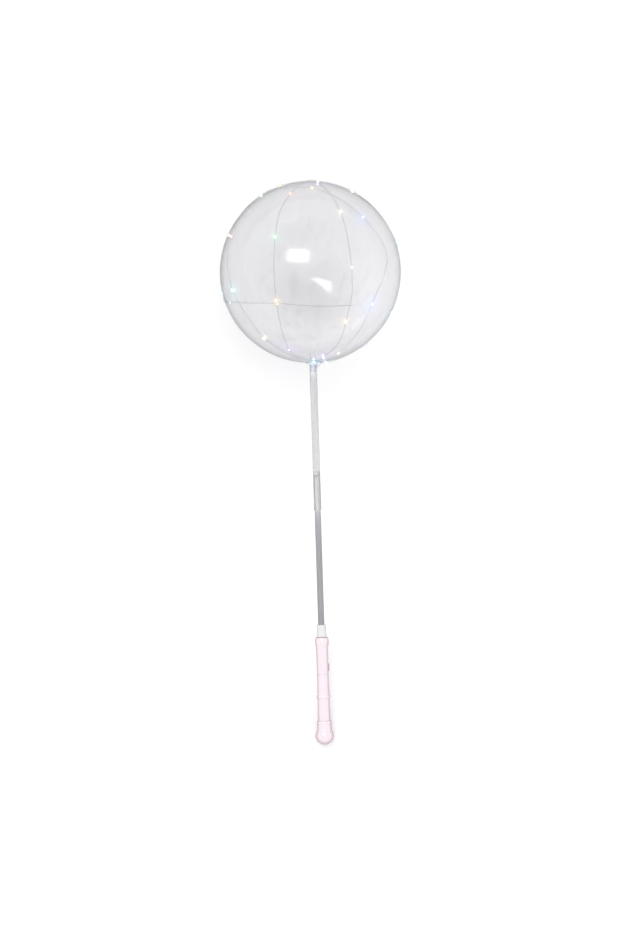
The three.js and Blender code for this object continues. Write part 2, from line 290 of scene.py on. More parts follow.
def maths(tree, operation, *values, **settings):
    """A sum such as MULTIPLY or POWER on values or sockets."""
    return add(tree, "ShaderNodeMath", dict(enumerate(values)), operation=operation, **settings).outputs[0]


def vectors(tree, operation, *values):
    """The same for places and colours."""
    return add(tree, "ShaderNodeVectorMath", dict(enumerate(values)), operation=operation)


def own_place(tree):
    """Where on the wand a point of the surface is."""
    return add(tree, "ShaderNodeTexCoord").outputs["Object"]


def up_the_wand(tree, low, high, start=0.0, end=1.0):
    """How far up the wand a point of the surface is, between two levels."""
    along = add(tree, "ShaderNodeSeparateXYZ", {"Vector": own_place(tree)}).outputs["Y"]
    return ranged(tree, along, in_place((0, low, 0)).y, in_place((0, high, 0)).y, start, end)


def noise(tree, place, fineness, detail, **others):
    """Cloudy noise over the surface."""
    inputs = {"Vector": place, "Scale": fineness, "Detail": detail, **others}
    return add(tree, "ShaderNodeTexNoise", inputs).outputs["Fac"]


def bumped(tree, surface, height, strength, distance):
    """Gives a surface a low relief."""
    relief = add(tree, "ShaderNodeBump", {"Height": height, "Strength": strength, "Distance": distance})
    tree.links.new(relief.outputs["Normal"], surface.inputs["Normal"])


def effect(name, inputs, outputs):
    """A node group with named sockets, ready to be filled, and its two ends."""
    group = bpy.data.node_groups.new(name, "ShaderNodeTree")
    for title, kind, value in inputs:
        group.interface.new_socket(title, in_out="INPUT", socket_type=kind).default_value = value
    for title, kind in outputs:
        group.interface.new_socket(title, in_out="OUTPUT", socket_type=kind)
    return group, group.nodes.new("NodeGroupInput"), group.nodes.new("NodeGroupOutput")


def use(tree, group, inputs):
    return add(tree, "ShaderNodeGroup", inputs, node_tree=group)


def finish(name, values):
    """A material and its Principled shader, with plain values on the shader's own sockets."""
    material = bpy.data.materials.new(name)
    material.use_nodes = True
    surface = material.node_tree.nodes["Principled BSDF"]
    for socket, value in values.items():
        surface.inputs[socket].default_value = value
    return material, material.node_tree, surface


def handling_marks():
    """Worn gloss, fine dust and a moulded surface's slow waviness, by Fineness and Amount."""
    group, given, result = effect(
        "handling_marks",
        [
            ("Fineness", "NodeSocketFloat", 60.0),
            ("Gloss", "NodeSocketFloat", 0.2),
            ("Amount", "NodeSocketFloat", 1.0),
        ],
        [("Roughness", "NodeSocketFloat"), ("Shade", "NodeSocketFloat"), ("Height", "NodeSocketFloat")],
    )
    place = own_place(group)
    smear = noise(group, place, given.outputs["Fineness"], 5.0, Roughness=0.6)
    dust = noise(group, place, maths(group, "MULTIPLY", given.outputs["Fineness"], 18.0), 3.0)
    spread = ranged(group, smear, 0.3, 0.75, -0.05, 0.13)
    worn = maths(group, "MULTIPLY_ADD", spread, given.outputs["Amount"], given.outputs["Gloss"])
    shade = maths(group, "MULTIPLY", ranged(group, dust, 0.62, 0.8), given.outputs["Amount"])
    height = maths(group, "MULTIPLY_ADD", smear, 0.6, dust)
    group.links.new(worn, result.inputs["Roughness"])
    group.links.new(shade, result.inputs["Shade"])
    group.links.new(height, result.inputs["Height"])
    return group


def stretch_marks():
    """The faint uneven thickness, smears and ripples of a clear stretched or drawn plastic."""
    group, given, result = effect(
        "stretch_marks",
        [("Fineness", "NodeSocketFloat", 8.0), ("Along", "NodeSocketVector", (1.0, 1.0, 1.0))],
        [("Thickness", "NodeSocketFloat"), ("Smear", "NodeSocketFloat"), ("Height", "NodeSocketFloat")],
    )
    drawn = vectors(group, "MULTIPLY", own_place(group), given.outputs["Along"]).outputs[0]
    broad = noise(group, drawn, given.outputs["Fineness"], 2.0, Distortion=0.6)
    fine = maths(group, "MULTIPLY", given.outputs["Fineness"], 5.0)
    smears = noise(group, drawn, fine, 6.0, Distortion=1.4)
    group.links.new(broad, result.inputs["Thickness"])
    group.links.new(ranged(group, smears, 0.52, 0.74), result.inputs["Smear"])
    group.links.new(broad, result.inputs["Height"])
    return group


def lamp_glow():
    """One lamp's light on what is round it: it glows a little, and takes on the lamp's colour."""
    group, given, result = effect(
        "lamp_glow",
        [
            ("Lamp", "NodeSocketVector", (0.0, 0.0, 0.0)),
            ("Reach", "NodeSocketFloat", 0.02),
            ("Strength", "NodeSocketFloat", 0.15),
            ("Light", "NodeSocketColor", (1.0, 1.0, 1.0, 1.0)),
            ("Glow", "NodeSocketColor", (0.0, 0.0, 0.0, 1.0)),
            ("Surface", "NodeSocketColor", (1.0, 1.0, 1.0, 1.0)),
        ],
        [("Glow", "NodeSocketColor"), ("Surface", "NodeSocketColor")],
    )
    away = vectors(group, "DISTANCE", own_place(group), given.outputs["Lamp"]).outputs["Value"]
    soft = maths(group, "POWER", ranged(group, away, given.outputs["Reach"], 0.0), 2.5)
    share = maths(group, "MULTIPLY", soft, given.outputs["Strength"])
    total = vectors(group, "MULTIPLY_ADD", given.outputs["Light"], share, given.outputs["Glow"])
    coloured = blend(group, share, (1.0, 1.0, 1.0, 1.0), given.outputs["Light"])
    surface = vectors(group, "MULTIPLY", given.outputs["Surface"], coloured)
    group.links.new(total.outputs[0], result.inputs["Glow"])
    group.links.new(surface.outputs[0], result.inputs["Surface"])
    return group


def light_from_lamps(tree, surface, base, lamps):
    """Lights a surface, whose own colour is base, from the lamps near it."""
    glow = (0.0, 0.0, 0.0, 1.0)
    for centre, colour in lamps:
        reach, strength = GLOW[colour]
        inputs = {
            "Lamp": centre,
            "Reach": reach,
            "Strength": strength,
            "Light": LAMP_LIGHT[colour] + (1.0,),
            "Glow": glow,
            "Surface": base,
        }
        lit = use(tree, LAMP_GLOW, inputs)
        glow = lit.outputs["Glow"]
        base = lit.outputs["Surface"]
    tree.links.new(base, surface.inputs["Base Color"])
    if lamps:
        tree.links.new(glow, surface.inputs["Emission Color"])


def let_light_through(tree, surface, share):
    """Clear plastic casts almost no shadow: a shadow ray passes it with this share of the light."""
    path = add(tree, "ShaderNodeLightPath")
    clear = add(tree, "ShaderNodeBsdfTransparent", {"Color": (share, share, share, 1.0)})
    either = add(
        tree,
        "ShaderNodeMixShader",
        {0: path.outputs["Is Shadow Ray"], 1: surface.outputs["BSDF"], 2: clear.outputs["BSDF"]},
    )
    tree.links.new(either.outputs[0], tree.nodes["Material Output"].inputs["Surface"])


def clear_film(lamps):
    """Blown film: clear, faintly violet, greyer edge on, with painted shading that is greyer towards the top
    and lighter low down, and lit round each lamp.
    """
    material, tree, surface = finish(
        "clear_film",
        {
            "Transmission Weight": 1.0,
            "IOR": 1.42,
            "Specular IOR Level": 0.06,
            "Coat Weight": 0.55,
            "Coat Roughness": 0.16,
            "Emission Strength": 0.5,
        },
    )
    marks = use(tree, STRETCH_MARKS, {"Fineness": 9.0, "Along": (1.0, 0.45, 1.0)})
    # Painted shading over the film: greyer towards the top, and lighter low down to offset the shade seen
    # through it near the floor.
    painted_shading_by_height = up_the_wand(tree, -110, 130, -0.6, 0.5)
    thickness_and_painted_shading = maths(tree, "ADD", marks.outputs["Thickness"], painted_shading_by_height, use_clamp=True)
    clear = blend(tree, thickness_and_painted_shading, (0.966, 0.963, 0.974, 1.0), (0.916, 0.915, 0.925, 1.0))
    smeared = blend(tree, marks.outputs["Smear"], clear, (0.91, 0.91, 0.915, 1.0))
    edge = add(tree, "ShaderNodeLayerWeight", {"Blend": 0.5}).outputs["Facing"]
    tinted = blend(tree, maths(tree, "POWER", edge, 4.0), smeared, (0.85, 0.85, 0.865, 1.0))
    light_from_lamps(tree, surface, tinted, lamps)
    rough = ranged(tree, marks.outputs["Smear"], 0.0, 1.0, 0.01, 0.04)
    tree.links.new(rough, surface.inputs["Roughness"])
    bumped(tree, surface, marks.outputs["Height"], 0.25, 0.0012)
    let_light_through(tree, surface, 0.99)
    return material


def clear_tube(name, size, tones, haze):
    """Hazy clear tube, drawn lengthwise; its wall's grey is given at levels from the bottom up."""
    material, tree, surface = finish(name, {"Transmission Weight": 1.0, "IOR": 1.49})
    marks = use(tree, STRETCH_MARKS, {"Fineness": 60.0, "Along": (1.0, 0.12, 1.0)})
    level = up_the_wand(tree, size["bottom"], size["top"])
    grey = add(tree, "ShaderNodeValToRGB", {"Fac": level})
    stops = grey.color_ramp.elements
    while len(stops) > 1:
        stops.remove(stops[-1])
    for number, (height, tone) in enumerate(tones):
        share = (height - size["bottom"]) / (size["top"] - size["bottom"])
        stop = stops.new(share) if number else stops[0]
        stop.position = share
        stop.color = tone + (1.0,)
    streak = ranged(tree, marks.outputs["Thickness"], 0.0, 1.0, 1.05, 0.93)
    wall = vectors(tree, "MULTIPLY", grey.outputs["Color"], streak)
    tree.links.new(wall.outputs[0], surface.inputs["Base Color"])
    rough = ranged(tree, marks.outputs["Smear"], 0.0, 1.0, haze, haze + 0.12)
    tree.links.new(rough, surface.inputs["Roughness"])
    let_light_through(tree, surface, 0.9)
    return material


def moulded_plastic(name, colour, dusty, gloss, values, lamps=()):
    """Moulded plastic with worn gloss; values are plain values for the shader."""
    material, tree, surface = finish(name, values)
    marks = use(tree, HANDLING_MARKS, {"Fineness": 70.0, "Gloss": gloss, "Amount": 1.0})
    tone = blend(tree, marks.outputs["Shade"], colour + (1.0,), dusty + (1.0,))
    light_from_lamps(tree, surface, tone, lamps)
    tree.links.new(marks.outputs["Roughness"], surface.inputs["Roughness"])
    bumped(tree, surface, marks.outputs["Height"], 0.12, 0.0002)
    return material


def lacquered_wire():
    """Thin silvery wire under clear lacquer, cleaner inside the stick than over the balloon."""
    material, tree, surface = finish(
        "lacquered_wire",
        {"Metallic": 0.3, "Coat Weight": 0.6, "Coat Roughness": 0.15},
    )
    marks = use(tree, HANDLING_MARKS, {"Fineness": 200.0, "Gloss": 0.35, "Amount": 1.0})
    handled = up_the_wand(tree, TUBE_TOP - 8, TUBE_TOP)
    clean = blend(tree, handled, (0.86, 0.86, 0.87, 1.0), (0.48, 0.48, 0.5, 1.0))
    dulled = maths(tree, "MULTIPLY", marks.outputs["Shade"], handled)
    tone = blend(tree, dulled, clean, (0.42, 0.41, 0.4, 1.0))
    tree.links.new(tone, surface.inputs["Base Color"])
    tree.links.new(marks.outputs["Roughness"], surface.inputs["Roughness"])
    return material


def lit_resin(colour):
    """A drop of clear resin over a lamp: white hot where it is lit, and mottled with the lamp's colour."""
    light = LAMP_LIGHT[colour] + (1.0,)
    pale = tuple(0.45 + 0.55 * part for part in light)
    material, tree, surface = finish(
        "lit_resin_" + colour,
        {"IOR": 1.5, "Coat Weight": 1.0, "Emission Strength": 3.0},
    )
    marks = use(tree, HANDLING_MARKS, {"Fineness": 250.0, "Gloss": 0.12, "Amount": 0.5})
    tree.links.new(marks.outputs["Roughness"], surface.inputs["Roughness"])
    milky = blend(tree, marks.outputs["Shade"], pale, (0.9, 0.9, 0.9, 1.0))
    tree.links.new(milky, surface.inputs["Base Color"])
    hot = blend(tree, noise(tree, own_place(tree), 400.0, 2.0), light, pale)
    lit = add(tree, "ShaderNodeAttribute", attribute_name="lit").outputs["Fac"]
    shown = blend(tree, lit, (0.0, 0.0, 0.0, 1.0), hot)
    tree.links.new(shown, surface.inputs["Emission Color"])
    return material


# Meshes

def piece(name, points, faces, material, stands_for=(), body="wand", crease=38):
    """A piece of the wand from its points in millimetres."""
    places = [in_place(point) for point in points]
    return placed_piece(name, places, faces, material, stands_for, body, crease)


def placed_piece(name, places, faces, material, stands_for=(), body="wand", crease=38):
    """A piece from places in metres, which rides on a body and stands for its CAD nodes."""
    mesh = bpy.data.meshes.new(name)
    mesh.from_pydata(places, [], faces)
    mesh.polygons.foreach_set("use_smooth", [True] * len(mesh.polygons))
    mesh.set_sharp_from_angle(angle=math.radians(crease))
    mesh.materials.append(material)
    made = bpy.data.objects.new(name, mesh)
    bpy.context.scene.collection.objects.link(made)
    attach(made, body)
    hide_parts(*stands_for)
    return made


def turned(outline, sides=72):
    """Points and faces of an outline of (radius, level) turned about the stick's axis."""
    rows = []
    points = []
    for radius, level in outline:
        if radius < 1e-6:
            rows.append([len(points)] * sides)
            points.append((0, level, 0))
            continue
        rows.append([len(points) + side for side in range(sides)])
        for side in range(sides):
            turn = 2 * math.pi * side / sides
            points.append((radius * math.sin(turn), level, radius * math.cos(turn)))
    if outline[0] == outline[-1]:
        points = points[:-sides]
        rows[-1] = rows[0]
    faces = []
    for low, high in zip(rows, rows[1:]):
        for side in range(sides):
            after = (side + 1) % sides
            corners = [low[side], low[after], high[after], high[side]]
            corners = [corner for at, corner in enumerate(corners) if corner != corners[at - 1]]
            if len(corners) > 2:
                faces.append(corners)
    return points, faces


def eased(outline, size, steps=3):
    """The outline with its corners eased by a small curve."""
    loop = outline[0] == outline[-1]
    corners = [Vector(point) for point in (outline[:-1] if loop else outline)]
    result = []
    for at, corner in enumerate(corners):
        if not loop and at in (0, len(corners) - 1):
            result.append(tuple(corner))
            continue
        before = corners[at - 1] - corner
        after = corners[(at + 1) % len(corners)] - corner
        if before.angle(after) > math.radians(172):
            result.append(tuple(corner))
            continue
        reach = min(size, before.length * 0.45, after.length * 0.45)
        start = corner + before.normalized() * reach
        end = corner + after.normalized() * reach
        for step in range(steps + 1):
            share = step / steps
            curve = start * (1 - share) ** 2 + corner * 2 * share * (1 - share) + end * share**2
            result.append(tuple(curve))
    if loop:
        result.append(result[0])
    return result


def arc(centre, reach, start, end, steps):
    """Outline points about a centre, between two angles in degrees from straight outwards."""
    angles = [math.radians(start + (end - start) * step / steps) for step in range(steps + 1)]
    return [
        (centre[0] + reach[0] * math.cos(angle), centre[1] + reach[1] * math.sin(angle)) for angle in angles
    ]


def cut(target, tool):
    """Cuts one mesh out of another and throws the tool away."""
    modifier = target.modifiers.new("cut", "BOOLEAN")
    modifier.operation = "DIFFERENCE"
    modifier.solver = "EXACT"
    modifier.object = tool
    bpy.context.view_layer.update()
    evaluated = target.evaluated_get(bpy.context.evaluated_depsgraph_get())
    mesh = bpy.data.meshes.new_from_object(evaluated)
    target.modifiers.clear()
    target.data = mesh
    mesh.polygons.foreach_set("use_smooth", [True] * len(mesh.polygons))
    mesh.set_sharp_from_angle(angle=math.radians(38))
    bpy.data.objects.remove(tool)


def cutter(points, faces):
    """A closed shape to cut with, never seen."""
    mesh = bpy.data.meshes.new("cutter")
    mesh.from_pydata([in_place(point) for point in points], [], faces)
    made = bpy.data.objects.new("cutter", mesh)
    bpy.context.scene.collection.objects.link(made)
    return made


def lead_slot(width, depth, length, level, radius):
    """A block at the lead's side of the stick, about a level and a distance from the axis."""
    turn = Matrix.Rotation(math.radians(LEAD_SIDE), 3, "Y")
    points = []
    for along in (-0.5, 0.5):
        for across, outwards in ((-0.5, -0.5), (0.5, -0.5), (0.5, 0.5), (-0.5, 0.5)):
            points.append(turn @ Vector((across * width, level + along * length, radius + outwards * depth)))
    faces = [(0, 1, 2, 3), (7, 6, 5, 4), (0, 4, 5, 1), (1, 5, 6, 2), (2, 6, 7, 3), (3, 7, 4, 0)]
    return cutter(points, faces)


# Balloon and cup

def make_balloon():
    """Two walls of film, pleated where they gather into the neck, and pressed flat on the floor."""
    latitudes = [90 + (FILM_END_LATITUDE - 90) * row / FILM_ROWS for row in range(FILM_ROWS + 1)]

    def wall(inset):
        """One wall from the top to the end of the neck: radius, level and depth of the pleats."""
        profile = []
        for latitude in latitudes:
            angle = math.radians(latitude)
            reach = BALLOON_RADIUS - inset
            radius = reach * math.cos(angle)
            gather = math.exp(-(((radius - PLEAT_RING) / PLEAT_SPREAD) ** 2)) if latitude < 0 else 0.0
            profile.append((max(radius, 0.0), reach * math.sin(angle), PLEAT_DEPTH * gather))
        start = profile[-1][1]
        for row in range(1, NECK_ROWS + 1):
            share = row / NECK_ROWS
            profile.append((NECK_RADIUS - inset, start + (NECK_END - start) * share, NECK_PLEAT_DEPTH))
        return profile

    outer = wall(0.0)
    inner = wall(FILM_WALL)
    profile = outer + inner[::-1]
    places = []
    index = []
    for at, (radius, level, depth) in enumerate(profile):
        inset = FILM_WALL if at >= len(outer) else 0.0
        if radius < 1e-6:
            index.append([len(places)] * FILM_SIDES)
            places.append(in_place((0, level, 0)))
            continue
        index.append([len(places) + side for side in range(FILM_SIDES)])
        for side in range(FILM_SIDES):
            turn = 2 * math.pi * side / FILM_SIDES
            fold = 0.5 + 0.5 * math.cos(PLEATS * turn + 1.3 * math.sin(3 * turn))
            point = Vector((radius * math.sin(turn), level, radius * math.cos(turn)))
            # Deep pleats draw in towards the ball's centre, and shallow ones are pinched towards the stick
            if depth > SHALLOW_PLEAT:
                point *= 1 - depth * fold / BALLOON_RADIUS
            elif depth > 0:
                point.x *= 1 - depth * fold * SHALLOW_PINCH
                point.z *= 1 - depth * fold * SHALLOW_PINCH
            place = in_place(point)
            over_floor = place.z - inset * MM
            soft_edge = FLAT_SPOT_EASE * MM
            place.z = inset * MM + 0.5 * (over_floor + math.sqrt(over_floor**2 + soft_edge**2))
            places.append(place)
    faces = []
    for high, low in zip(index, index[1:]):
        for side in range(FILM_SIDES):
            after = (side + 1) % FILM_SIDES
            corners = [low[side], low[after], high[after], high[side]]
            corners = [corner for at, corner in enumerate(corners) if corner != corners[at - 1]]
            if len(corners) > 2:
                faces.append(corners)
    return placed_piece("balloon_film", places, faces, FILM, ["balloon"], crease=70)


def make_cup():
    """The white cup: a dish under the film, with a plug that goes down into the tube."""
    def dish(radius):
        return -math.sqrt(BALLOON_RADIUS**2 - radius**2) - GAP

    plug = UPPER_TUBE["inner"] - GAP
    seat = TUBE_TOP + GAP
    plug_end = TUBE_TOP - 12.5
    hub = UPPER_TUBE["outer"] + 0.4
    outline = [
        (CUP_BORE, plug_end),
        (plug - 0.8, plug_end),
        (plug, plug_end + 1.2),
        (plug, seat),
        (hub, seat),
        (hub, seat + 0.9),
        (CUP_RADIUS - 0.5, dish(CUP_RADIUS) - CUP_RIM - 0.5),
        (CUP_RADIUS, dish(CUP_RADIUS) - CUP_RIM),
        (CUP_RADIUS - 0.2, dish(CUP_RADIUS)),
        (CUP_RADIUS - 4, dish(CUP_RADIUS - 4)),
        (CUP_BORE, dish(CUP_BORE)),
        (CUP_BORE, plug_end),
    ]
    points, faces = turned(eased(outline, 0.35))
    cup = piece("white_cup", points, faces, WHITE, ["balloon_cup"])
    cut(cup, lead_slot(LEAD_SLOT, 3, 14, seat - 7, plug - 0.6))
    return cup


# Stick

def make_tube(name, node, size, material):
    outline = [
        (size["inner"], size["bottom"]),
        (size["outer"], size["bottom"]),
        (size["outer"], size["top"]),
        (size["inner"], size["top"]),
        (size["inner"], size["bottom"]),
    ]
    points, faces = turned(eased(outline, 0.2))
    return piece(name, points, faces, material, [node])


def make_stick():
    """Two clear tubes, one pushed up into the other, with a soft stop between them."""
    upper = make_tube("upper_tube_wall", "upper_tube", UPPER_TUBE, UPPER_CLEAR)
    cut(upper, lead_slot(LEAD_SLOT, 6, 8, TUBE_TOP, UPPER_TUBE["outer"]))
    make_tube("lower_tube_wall", "lower_tube", LOWER_TUBE, LOWER_CLEAR)
    seat = LOWER_TUBE["top"] + GAP
    spigot = LOWER_TUBE["inner"] - GAP
    spigot_end = seat - 5
    outline = [
        (LEAD_HOLE, spigot_end),
        (spigot, spigot_end),
        (spigot, seat),
        (LOWER_TUBE["outer"], seat),
        (LOWER_TUBE["outer"], seat + STOP_HEIGHT),
        (LEAD_HOLE, seat + STOP_HEIGHT),
        (LEAD_HOLE, spigot_end),
    ]
    points, faces = turned(eased(outline, 0.5), 48)
    piece("soft_stop", points, faces, RUBBER, ["tube_stop"])


# Handle

def pill(length, width, low, high, steps=14):
    """A stadium pushed out sideways from one distance to another, as points and faces."""
    half = (length - width) / 2
    rim = []
    for centre, start in ((half, 0), (-half, 180)):
        for step in range(steps + 1):
            angle = math.radians(start + 180 * step / steps)
            rim.append((width / 2 * math.cos(angle), centre + width / 2 * math.sin(angle)))
    count = len(rim)
    points = [(out, BUTTON["centre"] + along, -across) for out in (low, high) for across, along in rim]
    faces = [list(range(count))[::-1], list(range(count, 2 * count))]
    faces += [(at, (at + 1) % count, count + (at + 1) % count, count + at) for at in range(count)]
    return points, faces


def make_collar():
    socket = LOWER_TUBE["outer"] + GAP
    floor = LOWER_TUBE["bottom"] - GAP
    foot = GRIP_TOP + GAP
    spigot_end = GRIP_TOP - COLLAR_SPIGOT["length"]
    outline = [
        (LEAD_HOLE, spigot_end),
        (COLLAR_SPIGOT["radius"], spigot_end),
        (COLLAR_SPIGOT["radius"], foot),
        (9.2, foot),
        (9.2, foot + 3),
        (8.5, foot + 6),
        (8.1, COLLAR_TOP - 1.4),
        (7.6, COLLAR_TOP),
        (socket, COLLAR_TOP),
        (socket, floor),
        (LEAD_HOLE, floor),
        (LEAD_HOLE, spigot_end),
    ]
    points, faces = turned(eased(outline, 0.8))
    piece("white_collar", points, faces, WHITE, ["handle_collar"])


def make_grip():
    socket = (JOINT_SPIGOT["radius"] + GAP, GRIP_JOINT + JOINT_SPIGOT["length"] + GAP)
    recess = (COLLAR_SPIGOT["radius"] + GAP, GRIP_TOP - COLLAR_SPIGOT["length"] - GAP)
    outline = [
        (0, socket[1]),
        socket,
        (socket[0], GRIP_JOINT),
        (GRIP_RADIUS - 0.25, GRIP_JOINT),
        (GRIP_RADIUS, GRIP_JOINT + 0.45),
        (GRIP_RADIUS, GRIP_TOP - 24),
        (GRIP_RADIUS + 0.5, GRIP_TOP - 17),
        *arc((GRIP_RADIUS + 0.3, GRIP_TOP - 8), (1.7, 7.2), -60, 90, 14),
        (recess[0], GRIP_TOP - 0.8),
        recess,
        (0, recess[1]),
    ]
    points, faces = turned(eased(outline, 0.5), 96)
    grip = piece("pink_grip", points, faces, PINK, ["handle_grip"])
    length, width = BUTTON["length"] + 2 * GAP, BUTTON["width"] + 2 * GAP
    cut(grip, cutter(*pill(length, width, BUTTON["pocket"], BUTTON["top"] + 5)))


def make_button():
    """The push button, with an eased edge."""
    foot = BUTTON["pocket"] + BUTTON["travel"] + GAP
    points, faces = pill(BUTTON["length"], BUTTON["width"], foot, BUTTON["top"])
    stands_for = ["push_button"]
    button = piece("rose_button", points, faces, ROSE, stands_for, body="button", crease=60)
    bevel = button.modifiers.new("eased edge", "BEVEL")
    bevel.width = 0.9 * MM
    bevel.segments = 4
    bevel.limit_method = "ANGLE"


def make_barrel():
    top = GRIP_JOINT - SEAM
    socket = (CAP_SPIGOT["radius"] + GAP, CAP_JOINT + CAP_SPIGOT["length"] + GAP)
    outline = [
        (0, socket[1]),
        socket,
        (socket[0], CAP_JOINT),
        (11.4, CAP_JOINT),
        (11.6, CAP_JOINT + 1),
        (11.1, RIB_LEVEL - 8),
        (11.1, RIB_LEVEL - 3.4),
        *arc((11.2, RIB_LEVEL), (1.3, 2.8), -70, 70, 10),
        (11.0, RIB_LEVEL + 3.4),
        (10.8, RIB_LEVEL + 9),
        (GRIP_RADIUS, top - 0.45),
        (GRIP_RADIUS - 0.25, top),
        (JOINT_SPIGOT["radius"], top),
        (JOINT_SPIGOT["radius"], GRIP_JOINT + JOINT_SPIGOT["length"]),
        (0, GRIP_JOINT + JOINT_SPIGOT["length"]),
    ]
    points, faces = turned(eased(outline, 0.6), 96)
    piece("pink_barrel", points, faces, PINK, ["battery_barrel"])


def make_cap():
    """The screw cap with its band and round end, flat where it lies on the floor."""
    top = CAP_JOINT - SEAM
    nub = 3.4
    outline = [
        (0, HANDLE_END),
        (nub - 0.5, HANDLE_END),
        (nub, HANDLE_END + 0.6),
        *arc((0, BULB_CENTRE), (BULB_RADIUS, 15.8), -76, 34, 30),
        (13.2, top - 8),
        (13.0, top - 5.5),
        (13.5, top - 4.5),
        (13.5, top - 1.6),
        (12.6, top),
        (CAP_SPIGOT["radius"], top),
        (CAP_SPIGOT["radius"], CAP_JOINT + CAP_SPIGOT["length"]),
        (0, CAP_JOINT + CAP_SPIGOT["length"]),
    ]
    points, faces = turned(eased(outline, 0.7), 96)
    places = [in_place(point) for point in points]
    for place in places:
        place.z = max(place.z, 0.0)
    placed_piece("pink_end_cap", places, faces, PINK, ["end_cap"])


# String of lights

def round_stick(longitude, level, radius):
    """A point at a longitude, a level along the stick and a distance from its axis."""
    angle = math.radians(longitude)
    return Vector((radius * math.sin(angle), level, radius * math.cos(angle)))


def on_balloon(latitude, longitude):
    angle = math.radians(latitude)
    return round_stick(longitude, BALLOON_RADIUS * math.sin(angle), BALLOON_RADIUS * math.cos(angle))


def smooth_through(points, steps):
    """A smooth curve through every point, with this many steps between two of them."""
    first = points[0] * 2 - points[1]
    last = points[-1] * 2 - points[-2]
    padded = [first, *points, last]
    curve = []
    for before, start, end, after in zip(padded, padded[1:], padded[2:], padded[3:]):
        in_gap = math.sqrt((start - before).length)
        gap = math.sqrt((end - start).length)
        out_gap = math.sqrt((after - end).length)
        leave = (start - before) / in_gap - (end - before) / (in_gap + gap) + (end - start) / gap
        arrive = (end - start) / gap - (after - start) / (gap + out_gap) + (after - end) / out_gap
        leave *= gap
        arrive *= gap
        for step in range(steps):
            t = step / steps
            curve.append(
                start * (2 * t**3 - 3 * t**2 + 1)
                + leave * (t**3 - 2 * t**2 + t)
                + end * (3 * t**2 - 2 * t**3)
                + arrive * (t**3 - t**2)
            )
    curve.append(points[-1].copy())
    return curve


def lengths_along(points):
    """The distance along a path at each of its points."""
    marks = [0.0]
    for start, end in zip(points, points[1:]):
        marks.append(marks[-1] + (end - start).length)
    return marks


def lay_run(stops):
    """One run of wire over the film, raised at its lamps and crossings, and its lamps' places."""
    steps = 24
    guide = smooth_through([on_balloon(stop[0], stop[1]) for stop in stops], steps)
    lengths = lengths_along(guide)
    raised = []
    for at, stop in enumerate(stops):
        if len(stop) == 3:
            half = CROSSING_HALF if stop[2] == OVER else LAMP_HALF
            raised.append((lengths[at * steps], half))
    path = []
    for point, length in zip(guide, lengths):
        rise = 0.0
        for centre, half in raised:
            share = 1 - min(1, max(0, (abs(length - centre) - half) / WIRE_RISE))
            rise = max(rise, share * share * (3 - 2 * share))
        height = WIRE_HEIGHT + (WIRE_HEIGHT_RAISED - WIRE_HEIGHT) * rise
        path.append(point.normalized() * (BALLOON_RADIUS + height))
    lamps = []
    for at, stop in enumerate(stops):
        if len(stop) == 3 and stop[2] != OVER:
            centre = path[at * steps]
            direction = (path[at * steps + 1] - path[at * steps - 1]).normalized()
            lamps.append((centre, direction, stop[2]))
    return path, lamps


def waist_turn(start, end):
    """Part of a turn of the wire round the stick, just under the cup."""
    steps = max(2, round(abs(end - start) / 14))
    turns = [start + (end - start) * step / steps for step in range(steps + 1)]
    return [round_stick(turn, WAIST_LEVEL, WAIST_RADIUS) for turn in turns]


def lay_string():
    """The whole string: up inside the stick, out through the slot, and three times over the balloon."""
    runs = [lay_run(stops) for stops in (FIRST_LOOP, SECOND_LOOP, LAST_RUN)]
    lead_radius = UPPER_TUBE["inner"] - 1.55
    lead = [Vector(point) for point in LEAD] + [
        round_stick(LEAD_SIDE, TUBE_TOP - 16, lead_radius - 0.4),
        round_stick(LEAD_SIDE, WAIST_LEVEL - 0.9, lead_radius),
        round_stick(LEAD_SIDE, WAIST_LEVEL, lead_radius + 0.7),
        round_stick(LEAD_SIDE, WAIST_LEVEL + 0.4, WAIST_RADIUS),
    ]
    between = [lead, waist_turn(208, 368), waist_turn(141, 97)]
    path = []
    for held, (run, _) in zip(between, runs):
        path += held + run
    return path, [lamp for _, lamps in runs for lamp in lamps]


def even_steps(path, step):
    """The path again, with points at equal distances."""
    marks = lengths_along(path)
    count = max(1, round(marks[-1] / step))
    result = []
    at = 0
    for number in range(count + 1):
        wanted = marks[-1] * number / count
        while at < len(marks) - 2 and marks[at + 1] < wanted:
            at += 1
        span = marks[at + 1] - marks[at]
        share = (wanted - marks[at]) / span if span > 0 else 0.0
        result.append(path[at].lerp(path[at + 1], min(1.0, share)))
    return result


def twisted_pair(path, sides=6):
    """Points and faces of two strands twisted round each other along a path."""
    frames = []
    across = Vector((1, 0, 0))
    for at, point in enumerate(path):
        along = (path[min(at + 1, len(path) - 1)] - path[max(at - 1, 0)]).normalized()
        across = (across - along * across.dot(along)).normalized()
        frames.append((point, across.copy(), along.cross(across)))
    marks = lengths_along(path)
    points = []
    faces = []
    for strand in (0, 1):
        first = len(points)
        for (centre, across, up), mark in zip(frames, marks):
            turn = 2 * math.pi * mark / TWIST_PITCH + math.pi * strand
            middle = centre + (across * math.cos(turn) + up * math.sin(turn)) * TWIST_RADIUS
            for side in range(sides):
                angle = 2 * math.pi * side / sides
                points.append(middle + (across * math.cos(angle) + up * math.sin(angle)) * STRAND_RADIUS)
        for row in range(len(path) - 1):
            for side in range(sides):
                low = first + row * sides
                high = low + sides
                after = (side + 1) % sides
                faces.append((low + side, low + after, high + after, high + side))
        last = first + (len(path) - 1) * sides
        faces.append([first + side for side in range(sides)][::-1])
        faces.append([last + side for side in range(sides)])
    return points, faces


